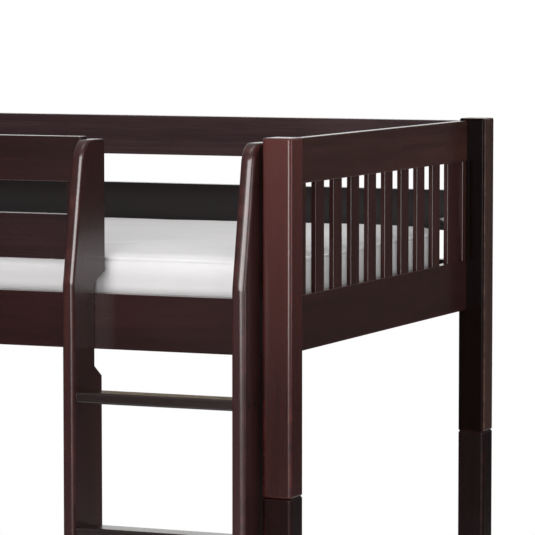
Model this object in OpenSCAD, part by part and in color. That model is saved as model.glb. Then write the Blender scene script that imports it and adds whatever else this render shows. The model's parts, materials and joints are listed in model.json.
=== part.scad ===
// Twin-over-twin bunk bed with a fixed-pitch front ladder.
// Frame: +X along the bed, +Y to the back, +Z up; origin on the floor, under the centre of the box.

/* [Overall] */
// Length over the posts
bed_l = 2042; // [2030:1:2120]
// Width over the posts
bed_w = 1077; // [1060:1:1140]
// Height of the post tops above the floor
bed_h = 1651; // [1600:1:1750]

/* [Posts] */
// Side of the square post
post_w = 57; // [50:1:70]
// Radius of the four long edges of a post
post_r = 7; // [2:0.5:10]
// Height of the joint between lower and upper posts
split_z = 1005; // [900:5:1100]
// How far the post tops stand above the top rails
post_proud = 5; // [0:0.5:8]

/* [Rails] */
// Thickness of the side rails and guard rails
rail_t = 28; // [24:1:30]
// Height of a side rail
side_rail_h = 102; // [96:1:120]
// Height of a guard rail and of an end panel's top rail
guard_h = 83; // [70:1:90]
// Gap between neighbouring guard rails
guard_gap = 60.5; // [50:0.5:75]
// Height of the lower side rails above the floor
lower_rail_z = 254; // [220:1:300]

/* [End panels] */
// Thickness of the end panel rails
panel_t = 19; // [18:1:25]
// Width of one end panel slat
slat_w = 42; // [34:1:50]
// Extra width of the first and last whole slats, towards the posts
end_slat_extra = 24; // [0:1:26]
// Thickness of one end panel slat
slat_t = 10; // [8:1:14]
// Number of whole slats in an end panel
slat_count = 10; // [8:1:11]

/* [Ladder] */
// Thickness of a ladder stile
stile_t = 25.5; // [20:0.5:28]
// Clear width between the two stiles
ladder_clear = 312; // [280:1:360]
// Gap between the right stile and the post
ladder_post_gap = 9; // [6:1:30]
// How far the stiles stand out in front of the posts
ladder_out = 59; // [50:1:70]
// Height of the top face of the highest rung
top_rung_z = 1185; // [1150:1:1200]
// Distance from one rung to the next
rung_pitch = 248; // [235:1:255]
// Depth of a rung from front to back
rung_d = 50; // [40:1:60]
// Thickness of a rung
rung_t = 20; // [18:1:24]

/* [Bedding] */
// Thickness of a mattress
mattress_h = 140; // [100:1:150]
// Width of a mattress
mattress_w = 935; // [900:1:935]
// Length of a mattress
mattress_l = 1905; // [1880:1:1910]
// Number of bed slats under each mattress
bed_slat_count = 13; // [10:1:15]

/* [Hidden] */
$fn = 48;
eps = 1;                              // overrun of a cut past a face
fit = 0.1;                            // radial play of steel in its hole
foot_h = 5;                           // thickness of a floor glide

// Plan layout: y_front and y_back are the outer faces of the posts.
y_front = -(bed_w + ladder_out) / 2 + ladder_out;
y_back = y_front + bed_w;
x_end = bed_l / 2;
x_in = x_end - post_w;                // inner faces of the posts
rail_front = post_w - rail_t;         // rail face, measured back from the post's outer face
panel_out = 38;                       // end panel's outer face, in from the post's outer face
slat_in = 2;                          // slat's outer face, in from the panel rail's outer face

// Heights, from the top down.
rail_top = bed_h - post_proud;
guard2_z = rail_top - 2 * guard_h - guard_gap;
guard1_z = rail_top - guard_h;
upper_rail_z = guard2_z - guard_gap - side_rail_h;

// Loose tenons, studs and pockets.
tenon_len = 20;
tenon_t = 9;
tenon_low = 40;                       // shoulder under a tenon
tenon_high = 8;                       // shoulder over a tenon
stud_d = 8;
stud_in_post = 35;
stud_z = 22;                          // stud axis above the rail's lower edge
pocket_in = 30;                       // pocket's near wall, from the rail's end
pocket_l = 32;
pocket_h = 24;
pocket_deep = 22;
washer_t = 2;
washer_d = 15.5;                      // just fits the pocket
nut_t = 6.5;
nut_af = 13;

// Bed slats and the cleats that carry them.
cleat_w = 25;
cleat_h = 20;
cleat_end = 74;                       // cleat ends this far from the post
bed_slat_w = 70;
bed_slat_t = 15;
mattress_play = 3;                    // gap between the mattress and the rear rail
mattress_skin = 15;                   // padded cover around the hollow spring core
mattress_r = 45;                      // corner radius of the mattress in plan

// Upright that carries the free ends of the front guard rails.
upright_w = 40;
upright_t = 20;
upright_gap = 5;                      // to the ladder's left stile
guard_end_gap = 2;                    // guard rail's end to the same stile

// Ladder outline, measured back from the front faces of the posts.
right_stile_x = x_in - ladder_post_gap - stile_t;
left_stile_x = right_stile_x - ladder_clear - stile_t;
stile_top = rail_top - 5;
stile_back_top = 73;
stile_back_mid = 58;
stile_back_low = 20;
notch_y = rail_front - 0.5;
crown_r = 38;
lean = 10.1;                          // slope of the stile's upper front edge
bend_z = rail_top - 260;
bend_r = 60;
rung_count = 5;                       // one node each
housing = 8;                          // rung end let into the stile
rung_front = 49;                      // rung's front face, out from the posts
screw_d = 5;
screw_head_d = 10;
screw_head_h = 4;
ladder_bolt_z = [46, 84];             // above the upper side rail's lower edge
insert_d = 12;
insert_l = 24;
pin_d = 12;
pin_l = 100;

wood = [0.21, 0.12, 0.11];
pine = [0.83, 0.69, 0.49];
cotton = [0.93, 0.92, 0.92];
steel = [0.72, 0.72, 0.74];
brass = [0.80, 0.66, 0.35];
plastic = [0.16, 0.14, 0.13];

// ---------- helpers ----------

// Box from two opposite corners.
module block(a, b) { translate(a) cube(b - a); }

// Square outline with round corners, centred.
module round_square(side, r) {
  square([side, side - 2 * r], center = true);
  square([side - 2 * r, side], center = true);
  for (sx = [-1, 1], sy = [-1, 1]) translate([sx, sy] * (side / 2 - r)) circle(r);
}

// Cylinder along X or Y, from its start point.
module rod_x(p, len, d) { translate(p) rotate([0, 90, 0]) cylinder(d = d, h = len); }
module rod_y(p, len, d) { translate(p) rotate([-90, 0, 0]) cylinder(d = d, h = len); }

// Countersunk screw along +X: head face at the origin.
module screw_x(len, grow) {
  rotate([0, 90, 0]) {
    cylinder(d1 = screw_head_d + grow, d2 = screw_d + grow, h = screw_head_h);
    cylinder(d = screw_d + grow, h = len);
  }
}

// Points of an arc, angles in degrees.
function arc(c, r, a0, a1, n) = [for (i = [0 : n]) let (a = a0 + (a1 - a0) * i / n)
  c + r * [cos(a), sin(a)]];

// Leave a right-hand thing where it is (s = 1) or mirror it to the left (s = -1).
module on_side(s) { if (s > 0) children(); else mirror([1, 0, 0]) children(); }

// y of a point measured inwards from the outer face of the front (row -1) or rear (row 1) posts.
function inward(row, d) = row < 0 ? y_front + d : y_back - d;

// ---------- posts ----------

// Height of the end panel rails and side rails that a post takes.
function panel_rails(z) = [[z, side_rail_h], [z + side_rail_h + guard_gap * 2 + guard_h, guard_h]];

// Cuts in one post: tenon sockets towards the panel, stud holes towards the rails.
module post_cuts(row, z, stud_heights) {
  dir = -row;
  for (r = panel_rails(z)) {
    y0 = inward(row, post_w);
    y1 = y0 - dir * (tenon_len + 1);
    x0 = panel_mid_x - tenon_t / 2;
    block([x0 - 0.1, min(y0 + dir * eps, y1), r[0] + tenon_low - 0.1],
          [x0 + tenon_t + 0.1, max(y0 + dir * eps, y1), r[0] + r[1] - tenon_high + 0.1]);
  }
  for (h = stud_heights)
    rod_x([x_in - eps, inward(row, rail_front + rail_t / 2), h], stud_in_post + 1 + eps,
          stud_d + 2 * fit);
}

module post(row, z0, z1, rail_z, stud_heights, socket_z) {
  color(wood) difference() {
    translate([x_end - post_w / 2, inward(row, post_w / 2), z0])
      linear_extrude(z1 - z0) round_square(post_w, post_r);
    post_cuts(row, rail_z, stud_heights);
    translate([x_end - post_w / 2, inward(row, post_w / 2), socket_z - pin_l / 2 - 1])
      cylinder(d = pin_d + fit, h = pin_l + 2);
  }
}

module lower_post(side, row) {
  on_side(side) post(row, foot_h, split_z, lower_rail_z, [lower_rail_z + stud_z], split_z);
}

// The front right post takes no guard rails, because the ladder opening is beside it.
module upper_post(side, row) {
  guards = side > 0 && row < 0 ? [] : [guard2_z + stud_z, guard1_z + stud_z];
  on_side(side) post(row, split_z, bed_h, upper_rail_z, concat([upper_rail_z + stud_z], guards),
                     split_z);
}

module post_pins() {
  color(steel) for (s = [-1, 1], row = [-1, 1])
    translate([s * (x_end - post_w / 2), inward(row, post_w / 2), split_z - pin_l / 2])
      cylinder(d = pin_d, h = pin_l);
}

module floor_glides() {
  color(plastic) for (s = [-1, 1], row = [-1, 1])
    translate([s * (x_end - post_w / 2), inward(row, post_w / 2), 0]) {
      cylinder(d1 = 38, d2 = 42, h = 2);
      translate([0, 0, 2]) cylinder(d = 42, h = foot_h - 2);
    }
}

// ---------- end panels ----------

panel_span = bed_w - 2 * post_w;
slat_pitch = panel_span / (slat_count + 1);
panel_mid_x = x_end - panel_out - panel_t / 2;
slat_mid_x = x_end - panel_out - slat_in - slat_t / 2;
slat_sink = 10;                       // slat end let into the rails

// Slat centres across the panel; the first and last are half strips against the posts.
function slat_y(i) = y_front + post_w + i * slat_pitch;

// One slat, or a half strip at each end of the row; grow widens it to make its mortise.
module panel_slat(i, z0, z1, grow) {
  extra = [i == 1 ? end_slat_extra : 0, i == slat_count ? end_slat_extra : 0];
  y0 = i == 0 ? slat_y(0) : slat_y(i) - slat_w / 2 - extra[0];
  y1 = i == slat_count + 1 ? slat_y(i) : slat_y(i) + slat_w / 2 + extra[1];
  block([slat_mid_x - slat_t / 2 - grow, y0 - grow, z0 - grow],
        [slat_mid_x + slat_t / 2 + grow, y1 + grow, z1 + grow]);
}

// Panel rail with tenons into both posts and mortises for the slats.
module panel_rail(side, z, h, slats_up) {
  slat_end = slats_up ? z + h - slat_sink : z + slat_sink;
  on_side(side) color(wood) difference() {
    union() {
      block([panel_mid_x - panel_t / 2, y_front + post_w, z],
            [panel_mid_x + panel_t / 2, y_back - post_w, z + h]);
      block([panel_mid_x - tenon_t / 2, y_front + post_w - tenon_len, z + tenon_low],
            [panel_mid_x + tenon_t / 2, y_back - post_w + tenon_len, z + h - tenon_high]);
    }
    for (i = [0 : slat_count + 1])
      panel_slat(i, slats_up ? slat_end : z - eps, slats_up ? z + h + eps : slat_end, 0.1);
  }
}

module panel_slats(side, z) {
  lo = z + side_rail_h - slat_sink;
  hi = panel_rails(z)[1][0] + slat_sink;
  on_side(side) color(wood) for (i = [0 : slat_count + 1]) panel_slat(i, lo, hi, 0);
}

module panel_top_rail(side, z) { panel_rail(side, panel_rails(z)[1][0], guard_h, false); }
module panel_bottom_rail(side, z) { panel_rail(side, z, side_rail_h, true); }

// ---------- side rails and guard rails ----------

// Stud hole and nut pocket at the right end of a rail; the pocket opens towards the mattress.
module rail_end_cut(row, z) {
  y_mid = inward(row, rail_front + rail_t / 2);
  y_face = inward(row, post_w);
  rod_x([x_in - pocket_in - eps, y_mid, z + stud_z], pocket_in + 2 * eps, stud_d + 2 * fit);
  block([x_in - pocket_in - pocket_l, min(y_face + row * pocket_deep, y_face - row * eps),
         z + stud_z - pocket_h / 2],
        [x_in - pocket_in, max(y_face + row * pocket_deep, y_face - row * eps),
         z + stud_z + pocket_h / 2]);
}

module rail_bar(row, x0, x1, z, h) {
  ya = inward(row, rail_front);
  yb = inward(row, post_w);
  block([x0, min(ya, yb), z], [x1, max(ya, yb), z + h]);
}

module cleat_screw_holes(row, z, grow) {
  n = 6;
  run = 2 * (x_in - cleat_end - 60);
  for (i = [0 : n - 1])
    translate([-run / 2 + run * i / (n - 1) + 12, inward(row, post_w + cleat_w), z + 1 + cleat_h / 2])
      rotate([0, 0, row * 90]) screw_x(45, grow);
}

module side_rail(row, z) {
  color(wood) difference() {
    rail_bar(row, -x_in, x_in, z, side_rail_h);
    for (s = [-1, 1]) on_side(s) rail_end_cut(row, z);
    cleat_screw_holes(row, z, fit);
    if (row < 0 && z > split_z) {
      ladder_bolt_shanks(stud_d + 2 * fit);
      guard_screw_set(fit);
    }
  }
}

module guard_rail(row, z) {
  color(wood) difference() {
    rail_bar(row, -x_in, row < 0 ? left_stile_x - guard_end_gap : x_in, z, guard_h);
    on_side(-1) rail_end_cut(row, z);
    if (row > 0) rail_end_cut(row, z);
    if (row < 0) guard_screw_set(fit);
  }
}

upright_x = left_stile_x - upright_gap - upright_w;
upright_z0 = upper_rail_z + 1 + cleat_h + bed_slat_t + 2;
guard_screw_heights = [upright_z0 + 18, upper_rail_z + side_rail_h - 16,
                       guard2_z + guard_h / 2, guard1_z + guard_h / 2];

// Screws through the upright into the guard rails and the side rail, heads inwards.
module guard_screw_set(grow) {
  for (h = guard_screw_heights)
    translate([upright_x + upright_w / 2, inward(-1, post_w + upright_t), h])
      rotate([0, 0, -90]) screw_x(40, grow);
}

module guard_upright() {
  color(wood) difference() {
    block([upright_x, inward(-1, post_w), upright_z0],
          [upright_x + upright_w, inward(-1, post_w + upright_t), rail_top - 6]);
    guard_screw_set(fit);
  }
}

module guard_screws() { color(steel) guard_screw_set(0); }

// Headless studs that tie one rail end to its post.
module stud_pair(row, z, left, right) {
  len = stud_in_post + pocket_in + washer_t + nut_t + 6;
  for (s = [-1, 1]) if (s < 0 ? left : right) on_side(s)
    rod_x([x_in + stud_in_post - len, inward(row, rail_front + rail_t / 2), z + stud_z], len, stud_d);
}

// One washer against the near wall of each pocket.
module washer_pair(row, z, left, right) {
  for (s = [-1, 1]) if (s < 0 ? left : right) on_side(s)
    translate([x_in - pocket_in, inward(row, rail_front + rail_t / 2), z + stud_z])
      rotate([0, -90, 0]) difference() {
        cylinder(d = washer_d, h = washer_t);
        translate([0, 0, -eps]) cylinder(d = stud_d + 2 * fit, h = washer_t + 2 * eps);
      }
}

// One hexagon nut on each washer.
module nut_pair(row, z, left, right) {
  for (s = [-1, 1]) if (s < 0 ? left : right) on_side(s)
    translate([x_in - pocket_in - washer_t, inward(row, rail_front + rail_t / 2), z + stud_z])
      rotate([0, -90, 0]) difference() {
        cylinder(d = nut_af / cos(30), h = nut_t, $fn = 6);
        translate([0, 0, -eps]) cylinder(d = stud_d + 2 * fit, h = nut_t + 2 * eps);
      }
}

module lower_rail_studs() {
  color(steel) for (row = [-1, 1]) stud_pair(row, lower_rail_z, true, true);
}
module lower_rail_washers() {
  color(steel) for (row = [-1, 1]) washer_pair(row, lower_rail_z, true, true);
}
module lower_rail_nuts() {
  color(steel) for (row = [-1, 1]) nut_pair(row, lower_rail_z, true, true);
}
module upper_rail_studs() {
  color(steel) for (row = [-1, 1]) {
    stud_pair(row, upper_rail_z, true, true);
    for (z = [guard2_z, guard1_z]) stud_pair(row, z, true, row > 0);
  }
}
module upper_rail_washers() {
  color(steel) for (row = [-1, 1]) {
    washer_pair(row, upper_rail_z, true, true);
    for (z = [guard2_z, guard1_z]) washer_pair(row, z, true, row > 0);
  }
}
module upper_rail_nuts() {
  color(steel) for (row = [-1, 1]) {
    nut_pair(row, upper_rail_z, true, true);
    for (z = [guard2_z, guard1_z]) nut_pair(row, z, true, row > 0);
  }
}

// ---------- mattress supports ----------

module cleat(row, z) {
  ya = inward(row, post_w);
  yb = inward(row, post_w + cleat_w);
  color(pine) difference() {
    block([-(x_in - cleat_end), min(ya, yb), z + 1], [x_in - cleat_end, max(ya, yb), z + 1 + cleat_h]);
    cleat_screw_holes(row, z, fit);
  }
}

module cleat_screws(z) { color(steel) for (row = [-1, 1]) cleat_screw_holes(row, z, 0); }

module bed_slats(z) {
  run = 2 * (x_in - cleat_end) - bed_slat_w;
  step = run / (bed_slat_count - 1);
  color(pine) for (i = [0 : bed_slat_count - 1])
    block([-run / 2 + step * i - bed_slat_w / 2, inward(-1, post_w + 2), z + 1 + cleat_h],
          [-run / 2 + step * i + bed_slat_w / 2, inward(1, post_w + 2), z + 1 + cleat_h + bed_slat_t]);
}

// Block with round upright corners, standing on the bed slats and drawn in by inset all round.
module mattress_block(inset) {
  r = mattress_r - inset;
  l = mattress_l - 2 * inset;
  w = mattress_w - 2 * inset;
  translate([0, 0, inset]) linear_extrude(mattress_h - 2 * inset) {
    square([l, w - 2 * r], center = true);
    square([l - 2 * r, w], center = true);
    for (sx = [-1, 1], sy = [-1, 1]) translate([sx * (l / 2 - r), sy * (w / 2 - r)]) circle(r);
  }
}

// Padded cover, closed all round, with the space of the spring core inside it.
module mattress(z) {
  y_mid = inward(1, post_w + mattress_play) - mattress_w / 2;
  color(cotton) translate([0, y_mid, z + 1 + cleat_h + bed_slat_t]) difference() {
    mattress_block(0);
    mattress_block(mattress_skin);
  }
}

// ---------- ladder ----------

// Side outline of a stile; x is measured back from the front faces of the posts.
crown_c = let (s = (stile_top - crown_r - bend_z + crown_r * sin(lean)) / cos(lean))
  [-ladder_out + s * sin(lean) + crown_r * cos(lean), stile_top - crown_r];
stile_outline = concat(
  [[-ladder_out, foot_h]],
  arc([-ladder_out + bend_r, bend_z - bend_r * tan(lean / 2)], bend_r, 180, 180 - lean, 4),
  arc(crown_c, crown_r, 180 - lean, 90, 14),
  arc([stile_back_top - 8, stile_top - 8], 8, 90, 0, 6),
  [[stile_back_top, upper_rail_z + 140], [notch_y, upper_rail_z + 121],
   [notch_y, upper_rail_z - 32], [stile_back_mid, upper_rail_z - 52],
   [stile_back_mid, lower_rail_z + 306], [stile_back_low, lower_rail_z + 266],
   [stile_back_low, foot_h]]);

function rung_z(i) = top_rung_z - (i - 1) * rung_pitch;

// Space of rung i; its ends are let into both stiles.
module rung_block(i, grow) {
  block([left_stile_x + stile_t - housing - grow, y_front - rung_front - grow,
         rung_z(i) - rung_t - grow],
        [right_stile_x + housing + grow, y_front - rung_front + rung_d + grow, rung_z(i) + grow]);
}

// Two screws through a stile into each rung end.
module rung_screw_set(side, grow) {
  x_face = side < 0 ? left_stile_x : right_stile_x + stile_t;
  for (i = [1 : rung_count], dy = [-12, 12])
    translate([x_face, y_front - rung_front + rung_d / 2 + dy, rung_z(i) - rung_t / 2])
      rotate([0, 0, side < 0 ? 0 : 180]) screw_x(45, grow);
}

stile_mids = [left_stile_x + stile_t / 2, right_stile_x + stile_t / 2];

// Threaded sleeves let into the notch face of the stiles.
module insert_set(d, h) {
  for (x = stile_mids, z = ladder_bolt_z)
    rod_y([x, y_front + notch_y - insert_l, upper_rail_z + z], h, d);
}

// Shanks of the bolts that pass through the side rail into the sleeves.
module ladder_bolt_shanks(d) {
  for (x = stile_mids, z = ladder_bolt_z)
    rod_y([x, y_front + notch_y - insert_l + 2, upper_rail_z + z], rail_t + insert_l, d);
}

module ladder_stile(side) {
  x = side < 0 ? left_stile_x : right_stile_x;
  color(wood) difference() {
    translate([x, y_front, 0]) rotate([90, 0, 90]) linear_extrude(stile_t) polygon(stile_outline);
    for (i = [1 : rung_count]) rung_block(i, 0.1);
    rung_screw_set(side, fit);
    insert_set(insert_d + fit, insert_l + eps);
  }
}

module ladder_rung(i) {
  color(wood) difference() {
    rung_block(i, 0);
    for (s = [-1, 1]) rung_screw_set(s, fit);
  }
}

module ladder_rung_screws() { color(steel) for (s = [-1, 1]) rung_screw_set(s, 0); }

module ladder_bolts() {
  color(steel) {
    ladder_bolt_shanks(stud_d);
    for (x = stile_mids, z = ladder_bolt_z)
      rod_y([x, inward(-1, post_w), upper_rail_z + z], 3.5, 17);
  }
}

module ladder_inserts() {
  color(brass) difference() {
    insert_set(insert_d, insert_l);
    translate([0, -eps, 0]) ladder_bolt_shanks(stud_d + fit);
  }
}

module ladder_glides() {
  color(plastic) for (x = stile_mids, d = [-ladder_out + 16, stile_back_low - 16])
    translate([x, y_front + d, 0]) cylinder(d = 19, h = foot_h);
}

// ---------- nodes ----------

lower_post(-1, -1);  // lower_post_front_left
lower_post(1, -1);  // lower_post_front_right
lower_post(-1, 1);  // lower_post_rear_left
lower_post(1, 1);  // lower_post_rear_right
upper_post(-1, -1);  // upper_post_front_left
upper_post(1, -1);  // upper_post_front_right
upper_post(-1, 1);  // upper_post_rear_left
upper_post(1, 1);  // upper_post_rear_right
panel_top_rail(-1, lower_rail_z);  // lower_left_panel_top_rail
panel_bottom_rail(-1, lower_rail_z);  // lower_left_panel_bottom_rail
panel_slats(-1, lower_rail_z);  // lower_left_panel_slats
panel_top_rail(1, lower_rail_z);  // lower_right_panel_top_rail
panel_bottom_rail(1, lower_rail_z);  // lower_right_panel_bottom_rail
panel_slats(1, lower_rail_z);  // lower_right_panel_slats
panel_top_rail(-1, upper_rail_z);  // upper_left_panel_top_rail
panel_bottom_rail(-1, upper_rail_z);  // upper_left_panel_bottom_rail
panel_slats(-1, upper_rail_z);  // upper_left_panel_slats
panel_top_rail(1, upper_rail_z);  // upper_right_panel_top_rail
panel_bottom_rail(1, upper_rail_z);  // upper_right_panel_bottom_rail
panel_slats(1, upper_rail_z);  // upper_right_panel_slats
side_rail(-1, lower_rail_z);  // lower_side_rail_front
side_rail(1, lower_rail_z);  // lower_side_rail_rear
side_rail(-1, upper_rail_z);  // upper_side_rail_front
side_rail(1, upper_rail_z);  // upper_side_rail_rear
cleat(-1, lower_rail_z);  // lower_cleat_front
cleat(1, lower_rail_z);  // lower_cleat_rear
cleat(-1, upper_rail_z);  // upper_cleat_front
cleat(1, upper_rail_z);  // upper_cleat_rear
bed_slats(lower_rail_z);  // lower_bed_slats
bed_slats(upper_rail_z);  // upper_bed_slats
guard_rail(-1, guard1_z);  // guard_rail_front_top
guard_rail(-1, guard2_z);  // guard_rail_front_bottom
guard_rail(1, guard1_z);  // guard_rail_rear_top
guard_rail(1, guard2_z);  // guard_rail_rear_bottom
guard_upright();
guard_screws();
lower_rail_studs();
lower_rail_washers();
lower_rail_nuts();
upper_rail_studs();
upper_rail_washers();
upper_rail_nuts();
cleat_screws(lower_rail_z);  // lower_cleat_screws
cleat_screws(upper_rail_z);  // upper_cleat_screws
post_pins();
floor_glides();
ladder_stile(-1);  // ladder_stile_left
ladder_stile(1);  // ladder_stile_right
ladder_rung(1);  // ladder_rung_1
ladder_rung(2);  // ladder_rung_2
ladder_rung(3);  // ladder_rung_3
ladder_rung(4);  // ladder_rung_4
ladder_rung(5);  // ladder_rung_5
ladder_rung_screws();
ladder_bolts();
ladder_inserts();
ladder_glides();
mattress(lower_rail_z);  // lower_mattress
mattress(upper_rail_z);  // upper_mattress
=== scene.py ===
"""Looks of the bunk bed with ladder: lacquered wood, bedding, fasteners, studio and camera."""
import json
import math

import bmesh
import bpy
from mathutils import Matrix, Vector, noise
from mathutils.bvhtree import BVHTree

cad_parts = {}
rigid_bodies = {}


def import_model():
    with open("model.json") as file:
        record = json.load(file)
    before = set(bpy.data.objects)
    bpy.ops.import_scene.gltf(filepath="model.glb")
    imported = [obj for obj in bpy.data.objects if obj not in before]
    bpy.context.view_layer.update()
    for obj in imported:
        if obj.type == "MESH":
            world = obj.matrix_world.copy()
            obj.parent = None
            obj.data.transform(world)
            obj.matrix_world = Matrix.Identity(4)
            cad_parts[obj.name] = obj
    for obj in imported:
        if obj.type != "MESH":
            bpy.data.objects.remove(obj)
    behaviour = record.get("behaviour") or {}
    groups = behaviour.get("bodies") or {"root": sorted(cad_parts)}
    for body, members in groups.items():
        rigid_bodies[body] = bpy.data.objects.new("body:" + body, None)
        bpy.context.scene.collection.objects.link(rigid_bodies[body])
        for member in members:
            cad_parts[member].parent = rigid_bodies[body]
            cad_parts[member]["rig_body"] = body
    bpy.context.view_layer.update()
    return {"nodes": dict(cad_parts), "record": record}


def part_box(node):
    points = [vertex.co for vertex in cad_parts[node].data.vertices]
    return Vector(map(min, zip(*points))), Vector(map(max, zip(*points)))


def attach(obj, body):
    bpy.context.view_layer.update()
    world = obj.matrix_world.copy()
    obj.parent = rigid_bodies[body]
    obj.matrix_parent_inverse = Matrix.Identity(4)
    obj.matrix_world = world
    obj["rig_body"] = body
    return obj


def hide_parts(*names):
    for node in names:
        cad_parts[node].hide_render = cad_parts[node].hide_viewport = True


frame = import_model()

NODES = frame["nodes"]
SLOTS = {s["node"]: s["material_slot"] for s in frame["record"]["subparts"]}
AXES = "XYZ"

# ---------------------------------------------------------------- camera and studio

EYE = (3.380, -6.101, 1.917)       # metres, in the row frame
EYE_PITCH = -4.665                 # degrees above the horizon
EYE_YAW = 23.27                    # degrees, turned towards -X
LENS = 230.5                       # millimetres on a 36 mm sensor


def place(data, name, where):
    """New object from mesh, light or camera data, linked to the scene."""
    thing = bpy.data.objects.new(name, data)
    thing.location = where
    bpy.context.scene.collection.objects.link(thing)
    return thing


def make_camera():
    """Long-lens camera that looks at the upper ladder corner of the bed."""
    data = bpy.data.cameras.new("camera")
    data.lens = LENS
    data.sensor_width = 36.0
    data.clip_end = 200.0
    cam = place(data, "camera", EYE)
    cam.rotation_euler = (math.radians(90 + EYE_PITCH), 0.0, math.radians(EYE_YAW))
    bpy.context.scene.camera = cam


def clear_tree(holder):
    """Emptied node tree of a material or world."""
    holder.use_nodes = True
    holder.node_tree.nodes.clear()
    return holder.node_tree


def add(tree, kind, links=None, **values):
    """Adds a node, sets its properties and socket values, and links the sockets named in links."""
    node = tree.nodes.new(kind)
    for key, value in values.items():
        if hasattr(node, key):
            setattr(node, key, value)
        else:
            node.inputs[key.replace("_", " ")].default_value = value
    for key, source in (links or {}).items():
        tree.links.new(source, node.inputs[key])
    return node


def ramp(tree, source, stops):
    """Colour ramp through (position, colour) stops."""
    node = add(tree, "ShaderNodeValToRGB", {"Fac": source})
    elements = node.color_ramp.elements
    while len(elements) < len(stops):
        elements.new(0.5)
    for element, (spot, colour) in zip(elements, stops):
        element.position = spot
        element.color = (*colour, 1.0)
    return node.outputs["Color"]


def blend(tree, mode, factor, a, b):
    """Blends two colours; each of factor, a and b is a socket or a plain value."""
    node = add(tree, "ShaderNodeMix", data_type="RGBA", blend_type=mode)
    sockets = [s for s in node.inputs if s.enabled]
    for socket, value in zip(sockets, (factor, a, b)):
        if isinstance(value, bpy.types.NodeSocket):
            tree.links.new(value, socket)
        elif isinstance(value, (int, float)):
            socket.default_value = value
        else:
            socket.default_value = (*value, 1.0)
    return [s for s in node.outputs if s.enabled][0]


def grey(level):
    return (level, level, level)


def scaled(colour, factor):
    return tuple(min(1.0, factor * c) for c in colour)


# Brightness of the room by height: 0 is straight down, 0.5 the horizon, 1 straight up.
ROOM_FRONT = [(0.0, 0.20), (0.40, 0.05), (0.50, 0.06), (0.65, 0.30), (1.0, 0.60)]
ROOM_BACK = [(0.0, 0.20), (0.40, 0.05), (0.52, 0.07), (0.65, 0.30), (1.0, 0.60)]


def make_world():
    """White backdrop for the camera; a dim room for light and reflections."""
    world = bpy.data.worlds.new("studio")
    bpy.context.scene.world = world
    tree = clear_tree(world)
    way = add(tree, "ShaderNodeTexCoord").outputs["Generated"]
    parts = add(tree, "ShaderNodeSeparateXYZ", {0: way}).outputs
    height = add(tree, "ShaderNodeMapRange", {"Value": parts["Z"]}, From_Min=-1.0, From_Max=1.0)
    front, back = (ramp(tree, height.outputs[0], [(spot, grey(level)) for spot, level in stops])
                   for stops in (ROOM_FRONT, ROOM_BACK))
    behind = add(tree, "ShaderNodeMapRange", {"Value": parts["Y"]}, From_Min=-0.3, From_Max=0.5)
    room = blend(tree, "MIX", behind.outputs[0], front, back)
    seen = add(tree, "ShaderNodeBackground", Color=(1, 1, 1, 1), Strength=1.0).outputs[0]
    felt = add(tree, "ShaderNodeBackground", {"Color": room}, Strength=1.0).outputs[0]
    camera_ray = add(tree, "ShaderNodeLightPath").outputs["Is Camera Ray"]
    mix = add(tree, "ShaderNodeMixShader", {0: camera_ray, 1: felt, 2: seen})
    add(tree, "ShaderNodeOutputWorld", {"Surface": mix.outputs[0]})


LIGHT_TARGET = (0.75, -0.2, 1.35)   # what every soft box looks at: the upper ladder corner


def soft_box(name, azimuth, height, distance, size, level, sheen=False):
    """Rectangular light at an azimuth (degrees from -Y towards +X) and height angle of its target.

    A light made for sheen shows in reflections only.
    """
    a, h = math.radians(azimuth), math.radians(height)
    way = Vector((math.sin(a) * math.cos(h), -math.cos(a) * math.cos(h), math.sin(h)))
    data = bpy.data.lights.new(name, "AREA")
    data.shape = "RECTANGLE"
    data.size, data.size_y = size
    data.energy = level * math.pi * size[0] * size[1]
    light = place(data, name, Vector(LIGHT_TARGET) + way * distance)
    light.rotation_euler = (-way).to_track_quat("-Z", "Y").to_euler()
    light.visible_camera = False
    light.visible_diffuse = not sheen


def make_lights():
    """Soft boxes; the last number of each is its brightness. The slope sheen lights the stiles only."""
    soft_box("key_light", 9, 4, 4.8, (2.6, 1.8), 10.8)
    soft_box("top_light", 60, 72, 3.2, (2.0, 2.0), 2.6)
    soft_box("side_light", 97, 5, 5.0, (2.0, 2.0), 4.0)
    soft_box("back_wall", 204, 9, 6.5, (5.0, 1.9), 1.2)
    soft_box("slope_sheen", 40, 15, 5.2, (5.4, 2.0), 16.0, sheen=True)
    soft_box("edge_sheen", 40, -9, 5.2, (5.4, 1.2), 1.2, sheen=True)


FLOOR_RADIUS = 4.8


def make_floor():
    """Plain pale round floor."""
    mesh = bpy.data.meshes.new("floor")
    bm = bmesh.new()
    bmesh.ops.create_circle(bm, cap_ends=True, radius=FLOOR_RADIUS, segments=96)
    bm.to_mesh(mesh)
    bm.free()
    material = bpy.data.materials.new("floor_paint")
    tree = clear_tree(material)
    shader = add(tree, "ShaderNodeBsdfPrincipled", Base_Color=(0.86, 0.86, 0.86, 1), Roughness=0.7)
    add(tree, "ShaderNodeOutputMaterial", {"Surface": shader.outputs[0]})
    mesh.materials.append(material)
    place(mesh, "floor", (0, 0, 0))


# ---------------------------------------------------------------- materials

SHIFT = 37.0                       # how far apart in the texture two pieces may lie
RUBBED, TOP_SHEEN_FACTOR = 2.4, 3.2           # rubbed edges, and the painted highlight that lightens tops, as multiples of the stain
TOP_SHEEN_GREY = 0.020                  # grey that the painted top highlight adds
WAVE_SCALE = 0.314                 # wave texture scale for threads one metre apart


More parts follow.
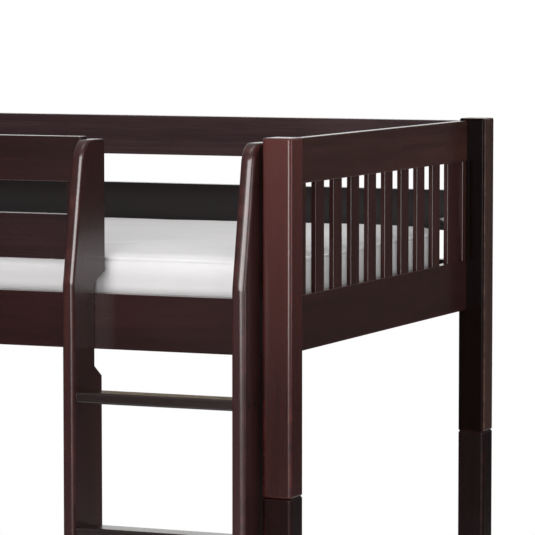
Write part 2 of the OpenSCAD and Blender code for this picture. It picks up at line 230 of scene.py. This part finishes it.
def texture_place(tree, stretch):
    """Coordinates in metres, shifted by a different amount for each piece and scaled by stretch."""
    where = add(tree, "ShaderNodeTexCoord").outputs["Object"]
    luck = add(tree, "ShaderNodeObjectInfo").outputs["Random"]
    shift = add(tree, "ShaderNodeVectorMath", {0: luck}, operation="SCALE", Scale=SHIFT)
    moved = add(tree, "ShaderNodeVectorMath", {0: where, 1: shift.outputs[0]}, operation="ADD")
    return add(tree, "ShaderNodeMapping", {"Vector": moved.outputs[0]}, Scale=stretch).outputs[0]


def spots(tree, stretch, detail=3.0, **more):
    return add(tree, "ShaderNodeTexNoise", {"Vector": texture_place(tree, stretch)}, Scale=1.0,
               Detail=detail, **more).outputs["Fac"]


def along(axis, across, lengthwise):
    """Texture scale that is coarse along one axis and fine across it."""
    return tuple(lengthwise if letter == axis else across for letter in AXES)


def finish_material(tree, links, **values):
    shader = add(tree, "ShaderNodeBsdfPrincipled", links, **values)
    add(tree, "ShaderNodeOutputMaterial", {"Surface": shader.outputs[0]})


def lacquered_wood(name, axis, tone, painted_top_sheen, shine):
    """Dark stained wood under clear lacquer; painted_top_sheen paints the stain lighter and greyer
    towards the piece's top, a painted highlight for the sheen its top catches.
    """
    material = bpy.data.materials.new(name)
    tree = clear_tree(material)
    streaks = spots(tree, along(axis, 24, 0.9), 5.0, Roughness=0.6, Distortion=0.5)
    pores = spots(tree, along(axis, 420, 9), 3.0, Roughness=0.6)
    clouds = spots(tree, (2.3, 2.3, 2.3), 2.0)
    stain = ramp(tree, streaks, [(0.30, scaled(tone, 0.66)), (0.52, tone), (0.74, scaled(tone, 1.4))])
    pore_tint = ramp(tree, pores, [(0.35, grey(0.6)), (0.55, grey(1.0))])
    cloud_tint = ramp(tree, clouds, [(0.3, (0.84, 0.86, 0.88)), (0.7, (1.0, 0.97, 0.94))])
    colour = blend(tree, "MULTIPLY", 0.7, stain, pore_tint)
    colour = blend(tree, "MULTIPLY", 1.0, colour, cloud_tint)
    # painted highlight: the upper part of a piece is blended towards a lighter, greyer colour, standing
    # in for the light its top catches
    rise = add(tree, "ShaderNodeAttribute", attribute_name="rise").outputs["Fac"]
    painted_top_sheen_mix = ramp(tree, rise, [(0.25, grey(0.0)), (1.0, grey(painted_top_sheen))])
    colour = blend(tree, "MIX", painted_top_sheen_mix, colour, tuple(TOP_SHEEN_FACTOR * c + TOP_SHEEN_GREY for c in tone))
    edge = add(tree, "ShaderNodeAttribute", attribute_name="edge_wear").outputs["Fac"]
    rub = ramp(tree, spots(tree, (45, 45, 45), 4.0), [(0.42, grey(0.0)), (0.72, grey(0.7))])
    rubbed = add(tree, "ShaderNodeMath", {0: edge, 1: rub}, operation="MULTIPLY").outputs[0]
    colour = blend(tree, "MIX", rubbed, colour, scaled(tone, RUBBED))
    gloss = add(tree, "ShaderNodeMapRange", {"Value": clouds}, From_Min=0.3, From_Max=0.7,
                To_Min=0.24, To_Max=0.30).outputs[0]
    grain = add(tree, "ShaderNodeBump", {"Height": pores}, Strength=0.12, Distance=0.0003)
    waves = add(tree, "ShaderNodeBump", {"Height": streaks, "Normal": grain.outputs[0]},
                Strength=0.10, Distance=0.0015)
    finish_material(tree, {"Base Color": colour, "Roughness": gloss, "Normal": waves.outputs[0]},
                    Specular_IOR_Level=0.4 * shine, Coat_Weight=0.3 * shine, Coat_Roughness=0.11)
    return material


def bare_pine(axis):
    """Planed, unfinished softwood."""
    material = bpy.data.materials.new("bare_pine_" + axis)
    tree = clear_tree(material)
    rings = spots(tree, along(axis, 34, 0.9), 6.0, Roughness=0.55, Distortion=1.2)
    fibres = spots(tree, along(axis, 500, 12), 2.0)
    wood = ramp(tree, rings, [(0.32, (0.47, 0.29, 0.14)), (0.5, (0.66, 0.48, 0.28)),
                              (0.7, (0.74, 0.58, 0.37))])
    fleck = ramp(tree, fibres, [(0.35, grey(0.8)), (0.6, grey(1.0))])
    bump = add(tree, "ShaderNodeBump", {"Height": fibres}, Strength=0.2, Distance=0.0005)
    rough = add(tree, "ShaderNodeMapRange", {"Value": rings}, To_Min=0.55, To_Max=0.75).outputs[0]
    finish_material(tree, {"Base Color": blend(tree, "MULTIPLY", 0.6, wood, fleck),
                           "Normal": bump.outputs[0], "Roughness": rough})
    return material


def metal(name, colour, roughness):
    """Plated or turned metal with fine mottling."""
    material = bpy.data.materials.new(name)
    tree = clear_tree(material)
    mottle = spots(tree, (260, 260, 260), 4.0)
    tint = ramp(tree, mottle, [(0.3, scaled(colour, 0.8)), (0.7, colour)])
    rough = add(tree, "ShaderNodeMapRange", {"Value": mottle}, To_Min=roughness - 0.08,
                To_Max=roughness + 0.12).outputs[0]
    finish_material(tree, {"Base Color": tint, "Roughness": rough}, Metallic=1.0)
    return material


def moulded_plastic():
    """Dark moulded plastic with a fine spark texture."""
    material = bpy.data.materials.new("glide_plastic")
    tree = clear_tree(material)
    spark = spots(tree, (900, 900, 900), 2.0)
    tint = ramp(tree, spark, [(0.3, (0.035, 0.03, 0.028)), (0.7, (0.06, 0.052, 0.048))])
    bump = add(tree, "ShaderNodeBump", {"Height": spark}, Strength=0.2, Distance=0.0003)
    finish_material(tree, {"Base Color": tint, "Normal": bump.outputs[0]}, Roughness=0.48)
    return material


def woven(name, tone, pitch, depth):
    """Woven cotton; pitch is the distance from thread to thread, in metres."""
    material = bpy.data.materials.new(name)
    tree = clear_tree(material)
    where = texture_place(tree, (1, 1, 1))
    threads = [add(tree, "ShaderNodeTexWave", {"Vector": where}, bands_direction=letter,
                   Scale=WAVE_SCALE / pitch, Distortion=0.5, Detail=1.0).outputs["Fac"]
               for letter in AXES]
    weave = threads[0]
    for other in threads[1:]:
        weave = add(tree, "ShaderNodeMath", {0: weave, 1: other}, operation="ADD").outputs[0]
    slub = spots(tree, (9, 9, 9), 5.0)
    colour = ramp(tree, slub, [(0.3, scaled(tone, 0.955)), (0.7, tone)])
    # painted shade: the low spots of the weave are darkened a little, besides their bump
    painted_weave_shade = ramp(tree, weave, [(0.3, grey(0.93)), (0.7, grey(1.0))])
    bump = add(tree, "ShaderNodeBump", {"Height": weave}, Strength=0.25, Distance=depth)
    rough = add(tree, "ShaderNodeMapRange", {"Value": slub}, To_Min=0.8, To_Max=0.95).outputs[0]
    finish_material(tree, {"Base Color": blend(tree, "MULTIPLY", 1.0, colour, painted_weave_shade),
                           "Normal": bump.outputs[0], "Roughness": rough},
                    Sheen_Weight=0.2, Sheen_Roughness=0.4)
    return material


# ---------------------------------------------------------------- wooden pieces

SAME = 1e-4                        # two lengths this close are one length, in metres
RAIL_EASE = 0.0015                 # eased long edges of rails
POST_EASE = 0.004                  # rounded rim of a post's top
RUNG_EASE = 0.004
SLAT_EASE = 0.002
STILE_ROUND = 0.0145               # the stiles' outer front edges are rounded most
STILE_INNER = 0.62                 # their inner front edges, as a share of that
STILE_SMALL = 0.07                 # their back edges, as a share of that
STILE_TURN = 1.6                   # how fast the share grows from the top to the front
SHARP = 32                         # degrees; steeper edges between faces stay sharp

# Stain of each kind of piece: linear colour, how strongly a painted highlight lightens its top, and its
# share of gloss.
STAINS_AND_PAINTED_LIGHT = {
    "upper_post_front": ((0.032, 0.0055, 0.0042), 0.60, 0.7),
    # painted light: the upper rear posts' stain is made paler so that their sides look lit; their front
    # faces get the near-black painted shade
    "upper_post_rear": ((0.070, 0.0360, 0.0290), 0.0, 0.25),
    "lower_post": ((0.010, 0.0022, 0.0022), 0.0, 0.3),
    "stile": ((0.032, 0.0100, 0.0095), 0.10, 0.65),
    "rung": ((0.020, 0.0110, 0.0105), 0.0, 1.0),
    "rear_bottom": ((0.010, 0.0040, 0.0040), 0.0, 1.0),
    "rear_top": ((0.054, 0.0270, 0.0300), 0.0, 1.0),
    "front_bottom": ((0.029, 0.0115, 0.0135), 0.0, 0.9),
    "side_rail": ((0.023, 0.0060, 0.0062), 0.0, 0.75),
    "front": ((0.022, 0.0070, 0.0072), 0.0, 0.9),
    "panel_top_rail": ((0.056, 0.0210, 0.0165), 0.0, 0.75),
    "panel_bottom_rail": ((0.036, 0.0115, 0.0105), 0.0, 0.65),
    "panel": ((0.046, 0.0145, 0.0125), 0.0, 0.7),
    "rear": ((0.022, 0.0070, 0.0075), 0.0, 0.9),
}
PAINTED_SHADE_FRONT = ((0.007, 0.0028, 0.0022), 0.0, 0.1)      # painted shade: near-black copy of the stain for the upper rear posts' front faces, where the end panel shades them


def stain_of(node):
    for word in STAINS_AND_PAINTED_LIGHT:
        if node.startswith(word) or word in node:
            return word
    return "front"


def long_axis(node):
    low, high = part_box(node)
    sides = high - low
    return AXES[max(range(3), key=lambda i: sides[i])]


def clean_mesh(node):
    """Copy of a CAD node's mesh as a bmesh, welded and with its flat faces whole again."""
    bm = bmesh.new()
    bm.from_mesh(NODES[node].data)
    bmesh.ops.remove_doubles(bm, verts=bm.verts, dist=1e-6)
    bmesh.ops.dissolve_limit(bm, angle_limit=math.radians(0.5), verts=bm.verts, edges=bm.edges)
    bm.edges.layers.float.new("bevel_weight_edge")
    return bm


def face_box(face):
    points = [v.co for v in face.verts]
    return Vector(map(min, *points)), Vector(map(max, *points))


def outer_edges(bm, low, high):
    """Edges that lie on two different faces of the box from low to high."""
    def planes(point):
        return {(i, s) for i in range(3) for s, side in ((0, low), (1, high))
                if abs(point[i] - side[i]) < SAME}
    return [e for e in bm.edges if len(planes(e.verts[0].co) & planes(e.verts[1].co)) >= 2]


def rim_edges(bm, axis, low, high):
    """Edges between an end face and a wall that runs the whole length of the piece, with the wall."""
    i = AXES.index(axis)
    found = []
    for edge in bm.edges:
        if len(edge.link_faces) != 2:
            continue
        ends = [f for f in edge.link_faces if abs(f.normal[i]) > 0.99]
        walls = [f for f in edge.link_faces if abs(f.normal[i]) < 0.5]
        if ends and walls:
            lo, hi = face_box(walls[0])
            if abs((hi - lo)[i] - (high - low)[i]) < SAME:
                found.append((edge, walls[0]))
    return found


def ease(bm, weighted, radius, segments):
    """Rounds edges; weighted holds (edge, share of the radius). Returns the mesh."""
    layer = bm.edges.layers.float["bevel_weight_edge"]
    for edge, share in weighted:
        edge[layer] = share
    mesh = bpy.data.meshes.new("raw")
    bm.to_mesh(mesh)
    bm.free()
    raw = place(mesh, "raw", (0, 0, 0))
    bevel = raw.modifiers.new("ease", "BEVEL")
    bevel.width = radius
    bevel.segments = segments
    bevel.limit_method = "WEIGHT"
    bevel.use_clamp_overlap = False
    done = bpy.data.meshes.new_from_object(raw.evaluated_get(bpy.context.evaluated_depsgraph_get()))
    bpy.data.objects.remove(raw)
    bpy.data.meshes.remove(mesh)
    return done


def main_box(bm, node):
    """Box of a rail's body without its tenons: as long as its widest face."""
    axis = AXES.index(long_axis(node))
    low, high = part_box(node)
    low, high = low.copy(), high.copy()
    lo, hi = face_box(max(bm.faces, key=lambda f: f.calc_area()))
    low[axis], high[axis] = lo[axis], hi[axis]
    return low, high


def eased_piece(node):
    """Mesh of a wooden piece with rounded edges."""
    bm = clean_mesh(node)
    low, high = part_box(node)
    if "post" in node:
        return ease(bm, [(e, 1.0) for e, wall in rim_edges(bm, "Z", low, high)], POST_EASE, 3)
    if "stile" in node:
        edges = []
        inner_x = high.x if node.endswith("left") else low.x
        for edge, wall in rim_edges(bm, "X", low, high):
            most = STILE_INNER if abs(edge.verts[0].co.x - inner_x) < SAME else 1.0
            ahead = max(0.0, -wall.normal.y)
            edges.append((edge, STILE_SMALL + (most - STILE_SMALL) * min(1.0, ahead * STILE_TURN)
                          if wall.normal.z > -0.5 else STILE_SMALL))
        return ease(bm, edges, STILE_ROUND, 8)
    if "rung" in node:
        edges = [e for e in outer_edges(bm, low, high)
                 if abs(e.verts[0].co.x - e.verts[1].co.x) > 0.1]
        return ease(bm, [(e, 1.0) for e in edges], RUNG_EASE, 3)
    if "slats" in node:
        return ease(bm, [(e, 1.0) for e in bm.edges if e.calc_length() > 0.15], SLAT_EASE, 2)
    return ease(bm, [(e, 1.0) for e in outer_edges(bm, *main_box(bm, node))], RAIL_EASE, 3)


def mark_wear(mesh, low, high):
    """Stores where edges rub bare, and how high each point is in its piece."""
    bm = bmesh.new()
    bm.from_mesh(mesh)
    wear = bm.verts.layers.float.new("edge_wear")
    rise = bm.verts.layers.float.new("rise")
    for vert in bm.verts:
        flat = any(max(abs(c) for c in f.normal) > 0.9995 for f in vert.link_faces)
        vert[wear] = 0.0 if flat else 1.0
        vert[rise] = (vert.co.z - low.z) / (high.z - low.z)
    bm.to_mesh(mesh)
    bm.free()


def build_wood():
    """Replaces every lacquered CAD node by the same shape with eased edges and real grain."""
    materials = {}
    stiles = bpy.data.collections.new("stiles")
    bpy.data.objects["slope_sheen"].light_linking.receiver_collection = stiles
    shaded_front_material = lacquered_wood("espresso_dark_front", "Z", *PAINTED_SHADE_FRONT)
    for node in sorted(NODES):
        if SLOTS[node] != "espresso_wood":
            continue
        kind, axis = stain_of(node), "Z" if "slats" in node else long_axis(node)
        if (kind, axis) not in materials:
            materials[kind, axis] = lacquered_wood("espresso_%s_%s" % (kind, axis), axis, *STAINS_AND_PAINTED_LIGHT[kind])
        mesh = eased_piece(node)
        mark_wear(mesh, *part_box(node))
        mesh.name = node + "_wood"
        mesh.polygons.foreach_set("use_smooth", [True] * len(mesh.polygons))
        mesh.set_sharp_from_angle(angle=math.radians(SHARP))
        mesh.materials.clear()
        mesh.materials.append(materials[kind, axis])
        # painted shade: faces of an upper rear post that look forward get the near-black copy, its
        # other faces the paler, lit-looking stain
        if kind == "upper_post_rear":
            mesh.materials.append(shaded_front_material)
            for face in mesh.polygons:
                face.material_index = int(face.normal.y < -0.7)
        piece = place(mesh, node + "_wood", (0, 0, 0))
        piece.modifiers.new("even_faces", "WEIGHTED_NORMAL").keep_sharp = True
        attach(piece, NODES[node]["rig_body"])
        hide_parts(node)
        if "stile" in node:
            stiles.objects.link(piece)


def paint_hardware():
    """Gives the CAD nodes that stay their materials."""
    plain = {"zinc_steel": metal("zinc_steel", (0.60, 0.60, 0.62), 0.32),
             "brass": metal("brass", (0.78, 0.60, 0.28), 0.28),
             "glide_plastic": moulded_plastic()}
    pine = {axis: bare_pine(axis) for axis in "XY"}
    dark_steel = metal("dark_steel", (0.05, 0.042, 0.04), 0.45)
    for node, piece in NODES.items():
        if SLOTS[node] == "bare_pine":
            material = pine["Y" if "slats" in node else "X"]
        elif node == "ladder_rung_screws":
            material = dark_steel
        else:
            material = plain.get(SLOTS[node])
        if material:
            piece.data.materials.clear()
            piece.data.materials.append(material)


# ---------------------------------------------------------------- bedding

INSET = 0.007                      # the pad starts this much smaller than its space
CORNER = 0.045                     # corner radius in plan
LIP = 0.007                        # radius of the edge between cover and border
VOXEL = 0.016
PRESSURE = 4.0
LAST_FRAME = 20                    # the simulation runs from frame 1 to this one
SWELL = 0.009                      # furthest that a point may move in the simulation
CROWN = 0.004                      # how much higher the middle of the top is
WAVER = 0.0016                     # soft unevenness of the top
TAPE = 0.0042                      # radius of the tape edge
TAPE_SIDES = 10
TAPE_STEP = 0.02                   # distance between its rings
GROOVE = 0.002                     # how deep the tape pulls the cover in
GROOVE_WIDTH = 0.006               # half the height of that groove
TOP_BAND = 0.03                    # the crown and the folds move points this close to the top
TOP_RIM = 0.02                     # but none this close to the sides
REST = 0.0005                      # gap between the flat underside and the bed slats
# Soft folds on the top: start, end (metres from the pad's middle), depth and half width.
FOLDS = [((0.52, -0.315), (0.63, -0.265), 0.0070, 0.011), ((0.60, -0.26), (0.57, -0.02), 0.0030, 0.028),
         ((0.20, -0.30), (-0.10, -0.27), 0.0035, 0.016), ((-0.55, 0.12), (-0.30, 0.22), 0.0035, 0.022),
         ((-0.70, -0.30), (-0.58, -0.12), 0.0030, 0.018), ((0.05, 0.10), (0.28, 0.02), 0.0030, 0.025)]


def outline(size, corner, steps=9):
    """Points of a rectangle with round corners, in plan, about its own middle."""
    points = []
    for k in range(4):
        sx, sy = ((1, 1), (-1, 1), (-1, -1), (1, -1))[k]
        for i in range(steps + 1):
            a = math.radians(90 * k + 90 * i / steps)
            points.append(Vector((sx * (size.x / 2 - corner) + corner * math.cos(a),
                                  sy * (size.y / 2 - corner) + corner * math.sin(a), 0.0)))
    return points


def pad_block(size):
    """Closed block with round upright corners and small lips, about its own middle."""
    bm = bmesh.new()
    small = size - Vector((2 * INSET, 2 * INSET, 2 * INSET))
    ring = [bm.verts.new(p - Vector((0, 0, small.z / 2))) for p in outline(small, CORNER - INSET)]
    base = bm.faces.new(ring)
    top = bmesh.ops.extrude_face_region(bm, geom=[base])
    bmesh.ops.translate(bm, vec=(0, 0, small.z),
                        verts=[g for g in top["geom"] if isinstance(g, bmesh.types.BMVert)])
    bmesh.ops.recalc_face_normals(bm, faces=bm.faces)
    rims = [e for e in bm.edges if abs(e.verts[0].co.z - e.verts[1].co.z) < SAME]
    bmesh.ops.bevel(bm, geom=rims, offset=LIP, segments=3, profile=0.5, affect="EDGES")
    mesh = bpy.data.meshes.new("pad")
    bm.to_mesh(mesh)
    bm.free()
    return mesh


def baked(thing):
    """Replaces an object's mesh by what its modifiers make of it."""
    depsgraph = bpy.context.evaluated_depsgraph_get()
    mesh = bpy.data.meshes.new_from_object(thing.evaluated_get(depsgraph))
    thing.modifiers.clear()
    thing.data = mesh
    return mesh


def swell(pad):
    """Blows the pad up as cloth and keeps every point within SWELL of its start."""
    start = [v.co.copy() for v in pad.data.vertices]
    cloth = pad.modifiers.new("cloth", "CLOTH")
    cloth.settings.use_pressure = True
    cloth.settings.uniform_pressure_force = PRESSURE
    cloth.settings.effector_weights.gravity = 0.0
    cloth.settings.quality = 5
    scene = bpy.context.scene
    for number in range(1, LAST_FRAME + 1):
        scene.frame_set(number)
    depsgraph = bpy.context.evaluated_depsgraph_get()
    moved = [v.co.copy() for v in pad.evaluated_get(depsgraph).data.vertices]
    pad.modifiers.clear()
    scene.frame_set(1)
    for vert, a, b in zip(pad.data.vertices, start, moved):
        step = b - a
        if step.length > SWELL:
            step.length = SWELL
        vert.co = a + step


def near_segment(point, a, b):
    """Distance in plan from a point to a line between a and b, and how far along it is (0 to 1)."""
    a, b, p = Vector(a), Vector(b), point.xy
    t = max(0.0, min(1.0, (p - a).dot(b - a) / (b - a).length_squared))
    return (p - (a + t * (b - a))).length, t


def shape_pad(mesh, size):
    """Flattens the underside, crowns the top, presses in the folds and draws in the seams."""
    half = size / 2
    for vert in mesh.vertices:
        p = vert.co
        side = max(abs(p.x) / half.x, abs(p.y) / half.y)
        rim = min(half.x - abs(p.x), half.y - abs(p.y))
        if p.z > half.z - TOP_BAND and rim > TOP_RIM:
            p.z += CROWN * (1 - side ** 4)
            p.z += WAVER * noise.noise(Vector((p.x * 5, p.y * 6, 3.0)))
            for a, b, depth, width in FOLDS:
                gap, t = near_segment(p, a, b)
                p.z -= depth * math.exp(-(gap / width) ** 2) * math.sin(math.pi * (0.1 + 0.8 * t))
        p.z = max(p.z, -half.z + REST)
        if side > 0.9:
            belly = math.exp(-((abs(p.z) - (half.z - LIP)) / GROOVE_WIDTH) ** 2)
            out = Vector((math.copysign(1, p.x) if half.x - abs(p.x) < CORNER / 2 else 0,
                          math.copysign(1, p.y) if half.y - abs(p.y) < CORNER / 2 else 0, 0))
            if out.length:
                p -= out.normalized() * GROOVE * belly


def tape_ring(surface, size, height):
    """Tape sewn round the pad at one height, lying on the cover."""
    points = outline(size, CORNER, 12)
    dense = []
    for a, b in zip(points, points[1:] + points[:1]):
        n = max(1, round((b - a).length / TAPE_STEP))
        dense += [a.lerp(b, i / n) for i in range(n)]
    path = [surface.find_nearest(Vector((point.x, point.y, height)))[0] for point in dense]
    smooth = [sum((path[(i + k) % len(path)] for k in (-2, -1, 0, 1, 2)), Vector()) / 5
              for i in range(len(path))]
    bm = bmesh.new()
    rings = []
    for i, p in enumerate(smooth):
        ahead = (smooth[(i + 1) % len(smooth)] - smooth[i - 1]).normalized()
        out = ahead.cross(Vector((0, 0, 1))).normalized()
        up = out.cross(ahead)
        turns = [2 * math.pi * k / TAPE_SIDES for k in range(TAPE_SIDES)]
        rings.append([bm.verts.new(p + TAPE * (math.cos(t) * out * 0.8 + math.sin(t) * up))
                      for t in turns])
    for i, ring in enumerate(rings):
        after = rings[(i + 1) % len(rings)]
        for k in range(TAPE_SIDES):
            m = (k + 1) % TAPE_SIDES
            bm.faces.new((ring[k], ring[m], after[m], after[k]))
    bmesh.ops.recalc_face_normals(bm, faces=bm.faces)
    mesh = bpy.data.meshes.new("tape")
    bm.to_mesh(mesh)
    bm.free()
    return mesh


def pad_parts(size):
    """Meshes of the pad and of its two tapes, about the pad's middle."""
    pad = place(pad_block(size), "pad", (0, 0, 0))
    remesh = pad.modifiers.new("voxels", "REMESH")
    remesh.mode = "VOXEL"
    remesh.voxel_size = VOXEL
    baked(pad)
    swell(pad)
    pad.modifiers.new("finer", "SUBSURF").levels = 1
    mesh = baked(pad)
    shape_pad(mesh, size)
    surface = BVHTree.FromPolygons([v.co for v in mesh.vertices], [p.vertices for p in mesh.polygons])
    tapes = [tape_ring(surface, size, s * (size.z / 2 - LIP * 0.4)) for s in (-1, 1)]
    bpy.data.objects.remove(pad)
    return mesh, tapes


def build_bedding():
    """Both mattresses: a padded cover with a tape edge round its top and its underside."""
    low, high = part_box("upper_mattress")
    mesh, tapes = pad_parts(high - low)
    ticking = woven("ticking", (0.86, 0.845, 0.85), 0.0011, 0.0003)
    binding = woven("tape_edge", (0.88, 0.87, 0.875), 0.0016, 0.0004)
    for node in ("upper_mattress", "lower_mattress"):
        low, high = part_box(node)
        for part, name, material in ((mesh, "cover", ticking), (tapes[0], "tape_under", binding),
                                     (tapes[1], "tape_top", binding)):
            data = part.copy()
            data.transform(Matrix.Translation((low + high) / 2))
            data.materials.clear()
            data.materials.append(material)
            data.polygons.foreach_set("use_smooth", [True] * len(data.polygons))
            piece = place(data, node + "_" + name, (0, 0, 0))
            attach(piece, NODES[node]["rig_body"])
            if name == "cover":
                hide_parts(node)


# ---------------------------------------------------------------- scene

bpy.context.scene.view_settings.view_transform = "Standard"
make_camera()
make_world()
make_lights()
make_floor()
build_wood()
paint_hardware()
build_bedding()
